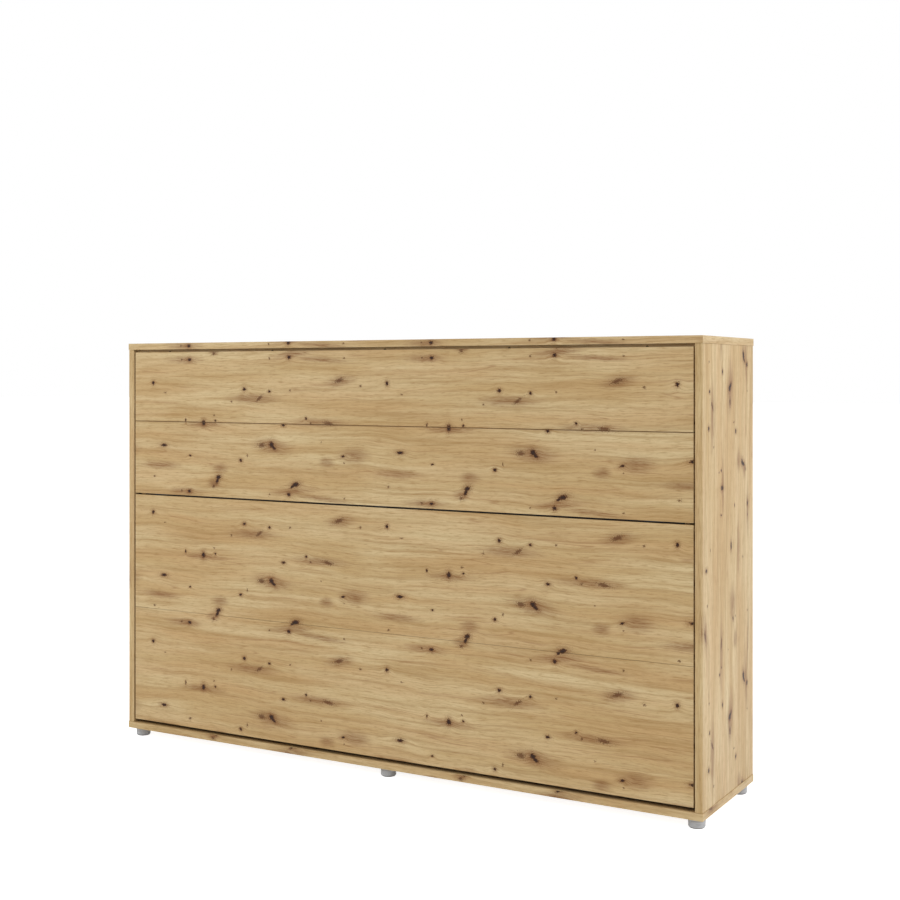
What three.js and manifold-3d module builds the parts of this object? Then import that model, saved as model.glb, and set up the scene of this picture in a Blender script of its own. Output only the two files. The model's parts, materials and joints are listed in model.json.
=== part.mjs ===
// A horizontal murphy wall bed, folded up into its cabinet.
//
// Frame: millimetres, +Z up, front faces -Y, wall on the +Y side.  The origin is on the floor, under
// the middle of the cabinet.  The bed turns about +X on two stub pins near the bottom front edge.
// The leg flap in the bed's front folds out on a continuous hinge and holds the open bed up.

import * as THREE from 'three';
import { mergeVertices } from 'three/addons/utils/BufferGeometryUtils.js';
import Module from 'manifold-3d';

const wasm = await Module();
wasm.setup();

// ---------------------------------------------------------------- driving dimensions

const WIDTH = 2129; // over the top and bottom boards
const DEPTH = 464;
const HEIGHT = 1396; // floor to the top face, feet included
const FOOT_HEIGHT = 30;
const FOOT_RADIUS = 25;
const BOARD = 22; // cabinet boards
const OVERHANG = 1.5; // the top and bottom boards stand this far past the sides
const GAP = 0.3; // air left between pieces that touch

const MATTRESS_LENGTH = 2000;
const MATTRESS_WIDTH = 1200;
const MATTRESS_THICKNESS = 180;
const MATTRESS_CORNER = 45;
const MATTRESS_EDGE = 14; // rounding of the mattress's long edges

const FRONT_THICKNESS = 16;
const FRONT_RECESS = 4; // the front panels lie this far behind the cabinet's front edges
const FRONT_SIDE_GAP = 5.5;
const FRONT_TOP = 1364.5;
const FRONT_BOTTOM = 64;
const HINGE_LINE = 1121.7; // height of the leg flap's hinge
const HINGE_GAP = 2.4; // between the top strip and the leg flap
const LEG_FREE_EDGE = 866.6; // lower edge of the leg flap
const LEG_FREE_GAP = 6;
const BUTT_SEAM = 461.7; // where the two lower front panels meet
const SEAM_GAP = 1;

const PIVOT_Y = -158; // the bed turns about this line, parallel to X
const PIVOT_Z = 328;
const PIVOT_PIN_RADIUS = 7;
const STRUT_STUD_RADIUS = 4;
const STRUT_TOP_Y = PIVOT_Y + 150; // the strut's pin on the cabinet side
const STRUT_TOP_Z = PIVOT_Z + 560;
const STRUT_FOOT_Y = PIVOT_Y + 60; // the strut's stud on the bed side, bed closed
const STRUT_FOOT_Z = PIVOT_Z - 120;

const BED_BOARD = 16;
const BED_BOARD_DEPTH = 149.7;
const BED_OUTER_X = 1020; // outer face of the bed's end boards
const BED_LOW = 108;
const BED_HIGH = 1350;
const TUBE = 30;
const TUBE_WALL = 1.5;
const SLAT_COUNT = 12;
const SLAT_WIDTH = 68;
const SLAT_THICKNESS = 8;
const STRAP_WIDTH = 50;
const STRAP_THICKNESS = 2;
const STOP_STRIP = [16, 15]; // depth and height of the batten that the front's top edge closes on

// ---------------------------------------------------------------- derived places

const HALF_WIDTH = WIDTH / 2;
const HALF_DEPTH = DEPTH / 2;
const SIDE_OUTER_X = HALF_WIDTH - OVERHANG;
const SIDE_INNER_X = SIDE_OUTER_X - BOARD;
const SIDE_HALF_DEPTH = HALF_DEPTH - OVERHANG;
const BOTTOM_BOARD_TOP = FOOT_HEIGHT + BOARD;
const TOP_BOARD_UNDERSIDE = HEIGHT - BOARD;
const SIDE_LOW = BOTTOM_BOARD_TOP + GAP;
const SIDE_HIGH = TOP_BOARD_UNDERSIDE - GAP;

const FRONT_FACE_Y = -HALF_DEPTH + FRONT_RECESS;
const FRONT_BACK_Y = FRONT_FACE_Y + FRONT_THICKNESS;
const FRONT_X = SIDE_INNER_X - FRONT_SIDE_GAP;
const BED_FRONT_Y = FRONT_BACK_Y + GAP;
const BED_BACK_Y = BED_FRONT_Y + BED_BOARD_DEPTH;
const BED_INNER_X = BED_OUTER_X - BED_BOARD;
const TUBE_Y = [BED_FRONT_Y + GAP, BED_FRONT_Y + GAP + TUBE];
const LEG_GAP_Z = LEG_FREE_EDGE - LEG_FREE_GAP / 2; // middle of the gap under the leg flap
const SLAT_Y = [TUBE_Y[1] + GAP, TUBE_Y[1] + GAP + SLAT_THICKNESS];
const MATTRESS_Y = [SLAT_Y[1] + 0.6, SLAT_Y[1] + 0.6 + MATTRESS_THICKNESS];
const BED_MIDDLE_Z = (BED_LOW + BED_HIGH) / 2;
const GAP_MIDDLE_X = (BED_OUTER_X + SIDE_INNER_X) / 2; // middle of the gap that the struts run in

// ---------------------------------------------------------------- materials

const finish = (color, roughness, metalness) => ({ color, roughness, metalness });
const OAK = finish(0xc2a981, 0.6, 0);
const OAK_SIDE = finish(0xd7bf9b, 0.6, 0);
const HARDBOARD = finish(0xd8cbb4, 0.75, 0);
const BIRCH = finish(0xdcc49c, 0.55, 0);
const PLASTIC = finish(0x9a9a98, 0.5, 0);
const STEEL_PAINT = finish(0x1c1d1f, 0.5, 0.2);
const ZINC = finish(0xb9bcc0, 0.35, 0.9);
const BRONZE = finish(0x4a3627, 0.4, 0.8);
const STRUT_PAINT = finish(0x1d1e20, 0.35, 0.2);
const CHROME = finish(0xd5d7da, 0.15, 1);
const TICKING = finish(0xeeece6, 0.9, 0);
const WEBBING = finish(0x2c2e33, 0.85, 0);

// ---------------------------------------------------------------- helpers

const group = new THREE.Group();

function add(name, geometry, look) {
  const mesh = new THREE.Mesh(geometry, new THREE.MeshStandardMaterial(look));
  mesh.name = name;
  group.add(mesh);
  return mesh;
}

// A box between two limits on each axis.
function box([x0, x1], [y0, y1], [z0, z1]) {
  const geometry = new THREE.BoxGeometry(Math.abs(x1 - x0), y1 - y0, z1 - z0);
  return geometry.translate((x0 + x1) / 2, (y0 + y1) / 2, (z0 + z1) / 2);
}

// A cylinder along X between x0 and x1.
function barAlongX(radius, x0, x1, y, z, segments = 32) {
  const geometry = new THREE.CylinderGeometry(radius, radius, Math.abs(x1 - x0), segments);
  return geometry.rotateZ(Math.PI / 2).translate((x0 + x1) / 2, y, z);
}

function toSolid(geometry) {
  const bare = geometry.index ? geometry.clone() : mergeVertices(geometry);
  bare.deleteAttribute('normal');
  bare.deleteAttribute('uv');
  const merged = mergeVertices(bare, 1e-4);
  return new wasm.Manifold(
    new wasm.Mesh({
      numProp: 3,
      vertProperties: new Float32Array(merged.attributes.position.array),
      triVerts: new Uint32Array(merged.index.array),
    }),
  );
}

function toGeometry(solid) {
  const mesh = solid.getMesh();
  const geometry = new THREE.BufferGeometry();
  geometry.setAttribute('position', new THREE.BufferAttribute(mesh.vertProperties, 3));
  geometry.setIndex(new THREE.BufferAttribute(mesh.triVerts, 1));
  geometry.computeVertexNormals();
  return geometry;
}

function join(...geometries) {
  return geometries.map(toSolid).reduce((whole, piece) => whole.add(piece));
}

// A rectangle with round corners, centred on the origin.
function roundedRectangle(width, height, radius) {
  const x = width / 2 - radius;
  const y = height / 2 - radius;
  const shape = new THREE.Shape();
  shape.absarc(x, y, radius, 0, Math.PI / 2);
  shape.absarc(-x, y, radius, Math.PI / 2, Math.PI);
  shape.absarc(-x, -y, radius, Math.PI, 1.5 * Math.PI);
  shape.absarc(x, -y, radius, 1.5 * Math.PI, 2 * Math.PI);
  shape.closePath();
  return shape;
}

// A plate with round corners that lies across X, from x0 towards x1.
function plateAcrossX(width, height, corner, x0, x1, y, z) {
  const options = { depth: Math.abs(x1 - x0), bevelEnabled: false, curveSegments: 6 };
  const plate = new THREE.ExtrudeGeometry(roundedRectangle(height, width, corner), options);
  return plate.rotateY(-Math.PI / 2).translate(Math.max(x0, x1), y, z);
}

// ---------------------------------------------------------------- cabinet

function cabinetBoards() {
  const fullX = [-HALF_WIDTH, HALF_WIDTH];
  const fullY = [-HALF_DEPTH, HALF_DEPTH];
  add('bottom_panel', box(fullX, fullY, [FOOT_HEIGHT, BOTTOM_BOARD_TOP]), OAK);
  add('top_panel', box(fullX, fullY, [TOP_BOARD_UNDERSIDE, HEIGHT]), OAK);
  const sideY = [-SIDE_HALF_DEPTH, SIDE_HALF_DEPTH];
  const sideZ = [SIDE_LOW, SIDE_HIGH];
  add('left_side_panel', box([-SIDE_OUTER_X, -SIDE_INNER_X], sideY, sideZ), OAK_SIDE);
  add('right_side_panel', box([SIDE_INNER_X, SIDE_OUTER_X], sideY, sideZ), OAK_SIDE);

  // The batten sits under the top board, just behind the front's top edge.
  const [stopDepth, stopHeight] = STOP_STRIP;
  const stopX = [-SIDE_INNER_X + GAP, SIDE_INNER_X - GAP];
  const stopY = [FRONT_BACK_Y + 0.5, FRONT_BACK_Y + 0.5 + stopDepth];
  add('top_stop_strip', box(stopX, stopY, [SIDE_HIGH - stopHeight, SIDE_HIGH]), OAK);
}

// Two thin boards joined by an H profile, with a stiffening rail behind their top and bottom edges.
function cabinetBack() {
  const skin = 3;
  const skinY = [205, 205 + skin];
  const railY = [skinY[1] + GAP, skinY[1] + GAP + 18];
  const railHeight = 100;
  const web = 1.4;
  const flange = 12;
  const edgeX = SIDE_INNER_X - GAP;
  add('back_panel_left', box([-edgeX, -web - GAP], skinY, [SIDE_LOW, SIDE_HIGH]), HARDBOARD);
  add('back_panel_right', box([web + GAP, edgeX], skinY, [SIDE_LOW, SIDE_HIGH]), HARDBOARD);

  const profileZ = [SIDE_LOW + railHeight + 1, SIDE_HIGH - railHeight - 1];
  const profile = join(
    box([-web, web], [skinY[0] - GAP - 1.2, skinY[1] + GAP + 1.2], profileZ),
    box([-flange, flange], [skinY[0] - GAP - 1.2, skinY[0] - GAP], profileZ),
    box([-flange, flange], [skinY[1] + GAP, skinY[1] + GAP + 1.2], profileZ),
  );
  add('back_joint_profile', toGeometry(profile), PLASTIC);

  add('lower_back_rail', box([-edgeX, edgeX], railY, [SIDE_LOW, SIDE_LOW + railHeight]), OAK);
  add('upper_back_rail', box([-edgeX, edgeX], railY, [SIDE_HIGH - railHeight, SIDE_HIGH]), OAK);

  for (const [label, x] of [['left', -700], ['right', 700]]) {
    const plateY = [railY[1] + GAP, railY[1] + GAP + 4];
    const plateZ = [SIDE_HIGH - 85, SIDE_HIGH - 15];
    add(`${label}_wall_bracket`, box([x - 40, x + 40], plateY, plateZ), ZINC);
  }
}

// A moulded foot: a cylinder with a slightly wider flange under the board and a rounded lower rim.
function footGeometry() {
  const top = FOOT_HEIGHT - GAP;
  const profile = [
    new THREE.Vector2(0, 0),
    new THREE.Vector2(FOOT_RADIUS - 2, 0),
    new THREE.Vector2(FOOT_RADIUS - 0.6, 0.6),
    new THREE.Vector2(FOOT_RADIUS, 2),
    new THREE.Vector2(FOOT_RADIUS, top),
    new THREE.Vector2(0, top),
  ];
  return new THREE.LatheGeometry(profile, 40).rotateX(Math.PI / 2);
}

function feet() {
  const footX = { left: -1032, middle: 0, right: 1032 };
  const footY = { front: -190, back: 190 };
  for (const [row, y] of Object.entries(footY)) {
    for (const [column, x] of Object.entries(footX)) {
      add(`foot_${row}_${column}`, footGeometry().translate(x, y, 0), PLASTIC);
    }
  }
}

// ---------------------------------------------------------------- bed

function bedBox() {
  const endY = [BED_FRONT_Y, BED_BACK_Y];
  const endZ = [BED_LOW, BED_HIGH];
  add('bed_left_board', box([-BED_OUTER_X, -BED_INNER_X], endY, endZ), OAK_SIDE);
  add('bed_right_board', box([BED_INNER_X, BED_OUTER_X], endY, endZ), OAK_SIDE);
  const railX = [-BED_INNER_X + GAP, BED_INNER_X - GAP];
  add('bed_lower_board', box(railX, endY, [BED_LOW, BED_LOW + BED_BOARD]), OAK_SIDE);
  add('bed_upper_board', box(railX, endY, [BED_HIGH - BED_BOARD, BED_HIGH]), OAK_SIDE);
}

// The three fixed pieces of the front; the leg flap fills the space between the first two.
function frontPanels() {
  const x = [-FRONT_X, FRONT_X];
  const y = [FRONT_FACE_Y, FRONT_BACK_Y];
  add('front_top_strip', box(x, y, [HINGE_LINE + HINGE_GAP / 2, FRONT_TOP]), OAK);
  add('front_middle_panel', box(x, y, [BUTT_SEAM + SEAM_GAP / 2, LEG_FREE_EDGE - LEG_FREE_GAP]), OAK);
  add('front_bottom_panel', box(x, y, [FRONT_BOTTOM, BUTT_SEAM - SEAM_GAP / 2]), OAK);
}

// A square tube of the slat frame, along X or Z.
function tube(name, alongX, length, x, z) {
  const outline = roundedRectangle(TUBE, TUBE, 3);
  const bore = TUBE - 2 * TUBE_WALL;
  outline.holes.push(roundedRectangle(bore, bore, 1.5));
  const options = { depth: length, bevelEnabled: false, curveSegments: 3 };
  const geometry = new THREE.ExtrudeGeometry(outline, options).translate(0, 0, -length / 2);
  if (alongX) geometry.rotateY(Math.PI / 2);
  add(name, geometry.translate(x, (TUBE_Y[0] + TUBE_Y[1]) / 2, z), STEEL_PAINT);
}

// The middle tube closes the gap under the leg flap, and the hinge tube stands just above the hinge.
function slatFrame() {
  const half = TUBE / 2;
  const lowZ = BED_LOW + BED_BOARD + GAP + half;
  const highZ = BED_HIGH - BED_BOARD - GAP - half;
  const longLength = 2 * (BED_INNER_X - GAP);
  const innerLength = longLength - 2 * (TUBE + GAP);
  tube('frame_tube_lower', true, longLength, 0, lowZ);
  tube('frame_tube_middle', true, innerLength, 0, LEG_GAP_Z);
  tube('frame_tube_hinge', true, innerLength, 0, HINGE_LINE + HINGE_GAP + half);
  tube('frame_tube_upper', true, longLength, 0, highZ);
  const endX = BED_INNER_X - GAP - half;
  const endLength = highZ - lowZ - TUBE - 2 * GAP;
  tube('frame_tube_left', false, endLength, -endX, BED_MIDDLE_Z);
  tube('frame_tube_right', false, endLength, endX, BED_MIDDLE_Z);
}

function slats() {
  const first = -BED_INNER_X + 90;
  const pitch = (-2 * first) / (SLAT_COUNT - 1);
  const z = [BED_LOW + BED_BOARD + 8, BED_HIGH - BED_BOARD - 8];
  for (let i = 0; i < SLAT_COUNT; i += 1) {
    const x = first + i * pitch;
    const name = `slat_${String(i + 1).padStart(2, '0')}`;
    add(name, box([x - SLAT_WIDTH / 2, x + SLAT_WIDTH / 2], SLAT_Y, z), BIRCH);
  }
}

function mattress() {
  const inset = 2 * MATTRESS_EDGE;
  const corner = MATTRESS_CORNER - MATTRESS_EDGE;
  const outline = roundedRectangle(MATTRESS_LENGTH - inset, MATTRESS_WIDTH - inset, corner);
  const geometry = new THREE.ExtrudeGeometry(outline, {
    depth: MATTRESS_THICKNESS - inset,
    bevelThickness: MATTRESS_EDGE,
    bevelSize: MATTRESS_EDGE,
    bevelSegments: 3,
    curveSegments: 6,
  });
  geometry.translate(0, 0, -(MATTRESS_THICKNESS - inset) / 2).rotateX(Math.PI / 2);
  const middleY = (MATTRESS_Y[0] + MATTRESS_Y[1]) / 2;
  add('mattress', geometry.translate(0, middleY, BED_MIDDLE_Z), TICKING);
}

// Each strap is anchored beside the mattress and runs across its back.
function straps() {
  const anchorY = BED_BACK_Y - 45;
  const outerY = MATTRESS_Y[1] + 0.5 + STRAP_THICKNESS;
  const innerZ = MATTRESS_WIDTH / 2 + 1;
  const outerZ = innerZ + STRAP_THICKNESS;
  const section = new THREE.Shape([
    new THREE.Vector2(anchorY, outerZ),
    new THREE.Vector2(outerY, outerZ),
    new THREE.Vector2(outerY, -outerZ),
    new THREE.Vector2(anchorY, -outerZ),
    new THREE.Vector2(anchorY, -innerZ),
    new THREE.Vector2(outerY - STRAP_THICKNESS, -innerZ),
    new THREE.Vector2(outerY - STRAP_THICKNESS, innerZ),
    new THREE.Vector2(anchorY, innerZ),
  ]);
  for (const [label, x] of [['left', -520], ['right', 520]]) {
    const options = { depth: STRAP_WIDTH, bevelEnabled: false };
    const strap = new THREE.ExtrudeGeometry(section, options).translate(0, 0, -STRAP_WIDTH / 2);
    // The section is drawn in (Y, Z); turning the axes in a ring lays it across X.
    const ring = new THREE.Matrix4().makeBasis(
      new THREE.Vector3(0, 1, 0),
      new THREE.Vector3(0, 0, 1),
      new THREE.Vector3(1, 0, 0),
    );
    add(`${label}_strap`, strap.applyMatrix4(ring).translate(x, 0, BED_MIDDLE_Z), WEBBING);
  }
}

// ---------------------------------------------------------------- leg flap and its hinge

function legFlap() {
  const x = [-FRONT_X, FRONT_X];
  const y = [FRONT_FACE_Y, FRONT_BACK_Y];
  add('leg_panel', box(x, y, [LEG_FREE_EDGE, HINGE_LINE - HINGE_GAP / 2]), OAK);
}

function legHinge() {
  const leaf = 0.8;
  const pinRadius = 0.9;
  const length = FRONT_X - 2;
  const x = [-length, length];
  const y = [FRONT_FACE_Y + pinRadius + GAP, FRONT_BACK_Y - 1];
  const panelEdge = HINGE_GAP / 2 - 0.15;
  const upperZ = [HINGE_LINE + panelEdge - leaf, HINGE_LINE + panelEdge];
  const lowerZ = [HINGE_LINE - panelEdge, HINGE_LINE - panelEdge + leaf];
  add('leg_hinge_upper_leaf', box(x, y, upperZ), BRONZE);
  add('leg_hinge_lower_leaf', box(x, y, lowerZ), BRONZE);
  add('leg_hinge_pin', barAlongX(pinRadius, -length, length, FRONT_FACE_Y, HINGE_LINE, 12), BRONZE);
}

// ---------------------------------------------------------------- main pivots and gas struts

// side is -1 on the left and +1 on the right.
function cabinetPivot(label, side) {
  const plate = 3;
  const wallX = side * (SIDE_INNER_X - GAP);
  const wallFace = side * (SIDE_INNER_X - GAP - plate);
  const pinTip = side * (BED_OUTER_X + 1);
  const pivot = join(
    plateAcrossX(80, 130, 10, wallX, wallFace, PIVOT_Y, PIVOT_Z),
    barAlongX(PIVOT_PIN_RADIUS, wallFace + side * 0.5, pinTip, PIVOT_Y, PIVOT_Z),
  );
  add(`${label}_pivot_plate`, toGeometry(pivot), ZINC);
}

// One steel plate on the bed's end board carries the pivot's socket and the strut's stud.
function bedPivot(label, side) {
  const plate = 3;
  const bedX = side * (BED_OUTER_X + GAP);
  const bedFace = side * (BED_OUTER_X + GAP + plate);
  const studTip = side * (BED_OUTER_X + 5.2);
  const studY = STRUT_FOOT_Y;
  const studZ = STRUT_FOOT_Z;
  const hole = barAlongX(
    PIVOT_PIN_RADIUS + GAP,
    side * BED_OUTER_X,
    side * SIDE_INNER_X,
    PIVOT_Y,
    PIVOT_Z,
  );
  const arm = plateAcrossX(36, 150, 18, bedX, bedFace, 0, 0);
  arm.rotateX(Math.atan2(studY - PIVOT_Y, PIVOT_Z - studZ));
  arm.translate(0, (PIVOT_Y + studY) / 2, (PIVOT_Z + studZ) / 2);
  const pivot = join(
    plateAcrossX(90, 110, 10, bedX, bedFace, PIVOT_Y, PIVOT_Z),
    barAlongX(18, bedX, bedFace + side * 6, PIVOT_Y, PIVOT_Z),
    arm,
    plateAcrossX(44, 44, 12, bedX, bedFace, studY, studZ),
    barAlongX(STRUT_STUD_RADIUS, bedFace - side * 0.5, studTip, studY, studZ),
  ).subtract(toSolid(hole));
  add(`${label}_pivot_socket`, toGeometry(pivot), ZINC);
}

function strutBracket(label, side) {
  const plate = 2.8;
  const wallX = side * (SIDE_INNER_X - GAP);
  const wallFace = side * (SIDE_INNER_X - GAP - plate);
  const studTip = side * (GAP_MIDDLE_X - 3);
  const bracket = join(
    plateAcrossX(40, 65, 8, wallX, wallFace, STRUT_TOP_Y, STRUT_TOP_Z + 14),
    barAlongX(STRUT_STUD_RADIUS, wallFace + side * 0.5, studTip, STRUT_TOP_Y, STRUT_TOP_Z),
  );
  add(`${label}_strut_bracket`, toGeometry(bracket), ZINC);
}

// The cylinder and the rod are drawn straight down from the strut's top pin, then turned into line.
function gasStrut(label, side) {
  const lean = new THREE.Vector2(STRUT_FOOT_Y - STRUT_TOP_Y, STRUT_FOOT_Z - STRUT_TOP_Z);
  const length = lean.length();
  const mouth = 430; // from the top pin to the open end of the cylinder
  const bore = { radius: 5.5, depth: 225 };
  const bodyTop = 26;
  const bodyRadius = 9;
  const rodRadius = 5;
  const rodOverlap = 20; // length of rod in the cylinder while the bed is closed
  const eye = { radius: 10, thickness: 8, hole: 4.3 };
  const eyeX = [-eye.thickness / 2, eye.thickness / 2];

  const place = (geometry) =>
    geometry
      .rotateX(Math.atan2(lean.x, -lean.y))
      .translate(side * GAP_MIDDLE_X, STRUT_TOP_Y, STRUT_TOP_Z);

  const profile = [
    new THREE.Vector2(0, -mouth + bore.depth),
    new THREE.Vector2(bore.radius, -mouth + bore.depth),
    new THREE.Vector2(bore.radius, -mouth),
    new THREE.Vector2(bodyRadius - 1, -mouth),
    new THREE.Vector2(bodyRadius, -mouth + 1),
    new THREE.Vector2(bodyRadius, -bodyTop - 1),
    new THREE.Vector2(bodyRadius - 1, -bodyTop),
    new THREE.Vector2(0, -bodyTop),
  ];
  const body = new THREE.LatheGeometry(profile, 24).rotateX(Math.PI / 2);
  const neck = new THREE.CylinderGeometry(3.5, 3.5, bodyTop - 4, 16);
  neck.rotateX(Math.PI / 2).translate(0, 0, -(bodyTop + 6) / 2);
  const cylinder = join(body, neck, barAlongX(eye.radius, ...eyeX, 0, 0)).subtract(
    toSolid(barAlongX(eye.hole, eyeX[0] - 1, eyeX[1] + 1, 0, 0)),
  );
  add(`${label}_strut_cylinder`, place(toGeometry(cylinder)), STRUT_PAINT);

  const rodTop = -mouth + rodOverlap;
  const rodLength = length - 5 + rodTop;
  const bar = new THREE.CylinderGeometry(rodRadius - 0.3, rodRadius - 0.3, rodLength, 20);
  bar.rotateX(Math.PI / 2).translate(0, 0, rodTop - rodLength / 2);
  const rod = join(bar, barAlongX(eye.radius, ...eyeX, 0, -length)).subtract(
    toSolid(barAlongX(eye.hole, eyeX[0] - 1, eyeX[1] + 1, 0, -length)),
  );
  add(`${label}_strut_rod`, place(toGeometry(rod)), CHROME);
}

// ---------------------------------------------------------------- assembly

cabinetBoards();
cabinetBack();
feet();
bedBox();
frontPanels();
slatFrame();
slats();
mattress();
straps();
legFlap();
legHinge();
for (const [label, side] of [['left', -1], ['right', 1]]) {
  cabinetPivot(label, side);
  bedPivot(label, side);
  strutBracket(label, side);
  gasStrut(label, side);
}

export default group;
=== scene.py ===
"""A horizontal murphy wall bed, folded up into its oak decor cabinet.

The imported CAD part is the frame; this script adds its materials and its fine and soft pieces.
Metres, +Z up, the front faces -Y, and the origin is on the floor under the cabinet's middle.
"""

import json
import math
import random
from itertools import product

import bmesh
import bpy
from mathutils import Matrix, Vector

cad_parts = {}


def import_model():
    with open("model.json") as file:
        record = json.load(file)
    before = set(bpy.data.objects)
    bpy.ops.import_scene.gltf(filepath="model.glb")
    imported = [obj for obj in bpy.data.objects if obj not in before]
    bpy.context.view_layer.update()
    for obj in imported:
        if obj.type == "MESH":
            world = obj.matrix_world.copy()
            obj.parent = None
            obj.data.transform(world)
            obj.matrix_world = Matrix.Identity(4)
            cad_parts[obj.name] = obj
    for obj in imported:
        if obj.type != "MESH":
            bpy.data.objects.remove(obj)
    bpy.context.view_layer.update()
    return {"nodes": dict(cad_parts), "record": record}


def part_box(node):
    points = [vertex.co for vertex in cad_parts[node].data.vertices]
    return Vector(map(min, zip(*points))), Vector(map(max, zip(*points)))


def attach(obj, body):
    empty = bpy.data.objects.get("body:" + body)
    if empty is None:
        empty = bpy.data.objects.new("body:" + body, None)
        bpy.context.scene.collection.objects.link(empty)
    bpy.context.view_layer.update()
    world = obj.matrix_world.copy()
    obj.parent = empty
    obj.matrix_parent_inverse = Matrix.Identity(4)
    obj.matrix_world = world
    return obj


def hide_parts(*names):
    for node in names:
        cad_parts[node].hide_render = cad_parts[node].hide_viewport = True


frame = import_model()
MM = 0.001
SIDES = (("left", -1), ("right", 1))
BOTH = (-1, 1)

# ---- camera

CAMERA_PLACE = (2.4014, -4.0446, 1.2825)
CAMERA_YAW = math.radians(30.23)
CAMERA_LENS = 56.57  # on a 36 mm wide sensor
CAMERA_SHIFT = (0.0218, -0.0827)


def make_camera():
    data = bpy.data.cameras.new("camera")
    data.lens = CAMERA_LENS
    data.sensor_width = 36
    data.sensor_fit = "HORIZONTAL"
    data.shift_x, data.shift_y = CAMERA_SHIFT
    camera = bpy.data.objects.new("camera", data)
    camera.location = CAMERA_PLACE
    camera.rotation_euler = (math.pi / 2, 0, CAMERA_YAW)
    bpy.context.collection.objects.link(camera)
    bpy.context.scene.camera = camera


# ---- node building


def srgb(red, green, blue):
    """A colour given as it looks on screen, 0 to 255, in the linear values that shaders use."""

    def linear(value):
        value /= 255
        return value / 12.92 if value <= 0.04045 else ((value + 0.055) / 1.055) ** 2.4

    return (linear(red), linear(green), linear(blue), 1)


class Nodes:
    """Short ways to add the nodes that this script uses to a node tree."""

    def __init__(self, tree):
        self.tree = tree

    def node(self, kind, inputs=(), **settings):
        """A new node; inputs pair a socket's name or number with its value."""
        node = self.tree.nodes.new("ShaderNode" + kind)
        for name, value in settings.items():
            setattr(node, name, value)
        for key, value in dict(inputs).items():
            self.put(node.inputs[key], value)
        return node

    def put(self, socket, value):
        """Links a socket to another one, or sets it to a constant."""
        if isinstance(value, bpy.types.NodeSocket):
            self.tree.links.new(value, socket)
        else:
            socket.default_value = value

    def math(self, operation, a, b=0.0, c=0.0):
        node = self.node("Math", enumerate((a, b, c)), operation=operation)
        return node.outputs[0]

    def plus(self, a, b):
        return self.math("ADD", a, b)

    def times(self, a, b):
        return self.math("MULTIPLY", a, b)

    def sine(self, value, rate):
        return self.math("SINE", self.times(value, rate))

    def vector(self, operation, a, b=(0, 0, 0), c=(0, 0, 0)):
        node = self.node("VectorMath", enumerate((a, b, c)), operation=operation)
        return node.outputs["Value" if operation == "LENGTH" else "Vector"]

    def split(self, vector):
        return self.node("SeparateXYZ", {0: vector}).outputs

    def join(self, x, y, z=0.0):
        return self.node("CombineXYZ", enumerate((x, y, z))).outputs[0]

    def noise(self, vector, scale, detail=2.0, roughness=0.5, output="Fac"):
        inputs = {"Vector": vector, "Scale": scale, "Detail": detail, "Roughness": roughness}
        return self.node("TexNoise", inputs).outputs[output]

    def fibres(self, vector, stretch, detail, roughness, scale=1.0):
        """Noise that has its own scale along each axis."""
        return self.noise(self.vector("MULTIPLY", vector, stretch), scale, detail, roughness)

    def smooth(self, value, low, high):
        """A smooth step from 0 at low to 1 at high, either of which may be the larger."""
        inputs = {"Value": value, "From Min": low, "From Max": high}
        node = self.node("MapRange", inputs, interpolation_type="SMOOTHSTEP")
        return node.outputs["Result"]

    def between(self, value, low, high, to_low, to_high):
        """A straight ramp from to_low at low to to_high at high, and level outside them."""
        inputs = {"Value": value, "From Min": low, "From Max": high}
        inputs |= {"To Min": to_low, "To Max": to_high}
        return self.node("MapRange", inputs).outputs["Result"]

    def choose(self, factor, a, b):
        """a where factor is 0 and b where it is 1, for numbers."""
        return self.node("Mix", {0: factor, 2: a, 3: b}, data_type="FLOAT").outputs[0]

    def mix(self, factor, a, b, blend="MIX"):
        """a where factor is 0 and b where it is 1, for colours."""
        inputs = {0: factor, 6: a, 7: b}
        node = self.node("Mix", inputs, data_type="RGBA", blend_type=blend)
        return node.outputs[2]

    def layers(self, color, *layers):
        """The colour with (amount, colour) layers laid over it in turn."""
        for amount, over in layers:
            color = self.mix(amount, color, over)
        return color

    def seen_directly(self):
        """1 for rays from the camera, straight or through mirrors and glass, and 0 for others."""
        rays = self.node("LightPath").outputs
        seen = self.math("MAXIMUM", rays["Is Camera Ray"], rays["Is Glossy Ray"])
        return self.math("MAXIMUM", seen, rays["Is Transmission Ray"])


class Shader(Nodes):
    """A material, with the point's place on the object at rest and the face's direction."""

    SOCKETS = {
        "color": "Base Color",
        "roughness": "Roughness",
        "metallic": "Metallic",
        "specular": "Specular IOR Level",
        "coat": "Coat Weight",
        "sheen": "Sheen Weight",
        "glow": "Emission Strength",
        "glow_color": "Emission Color",
    }

    def __init__(self, name):
        self.material = bpy.data.materials.new(name)
        self.material.use_nodes = True
        super().__init__(self.material.node_tree)
        self.bsdf = self.tree.nodes["Principled BSDF"]
        coordinates = self.node("TexCoord").outputs
        self.point, self.normal = coordinates["Object"], coordinates["Normal"]

    def set(self, **values):
        for name, value in values.items():
            self.put(self.bsdf.inputs[self.SOCKETS[name]], value)

    def finish(self, color, roughness, bump, **others):
        """The material with its colour, its roughness and its (height, distance, strength) bump."""
        self.set(color=color, roughness=roughness, **others)
        inputs = zip(("Height", "Distance", "Strength"), bump)
        self.put(self.bsdf.inputs["Normal"], self.node("Bump", inputs).outputs[0])
        return self.material


# ---- oak decor

# The decor repeats every tile.  Its places are in metres: along the grain, then across it.
TILE = (0.9705, 0.4553)

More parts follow.
